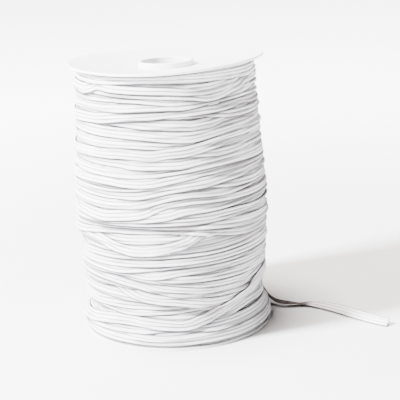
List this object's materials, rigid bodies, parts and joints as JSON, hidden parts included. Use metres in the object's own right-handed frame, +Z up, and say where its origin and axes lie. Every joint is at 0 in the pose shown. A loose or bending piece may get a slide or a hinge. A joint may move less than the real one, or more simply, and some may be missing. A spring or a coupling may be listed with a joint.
{
  "type": "roll of elastic",
  "caption": "Tall roll of flat braided white elastic wound on a white flanged spool with an open core, its loose end lying on the table.",
  "frame": {"origin": "on the roll's axis at the underside of the lower flange, where the roll stands", "axes": "+Z up along the roll's axis, -Y towards the front of the roll, +X towards the side where the loose end lies"},
  "size_m": [0.1793, 0.1133, 0.1588],
  "materials": {
    "spool": "smooth moulded white plastic with a soft shine",
    "elastic": "matt white braided elastic with lengthwise ribs"
  },
  "bodies": {
    "root": {"bottom_flange": "spool", "top_flange": "spool", "core_tube": "spool", "elastic_winding": "elastic", "loose_end": "elastic"}
  },
  "joints": []
}
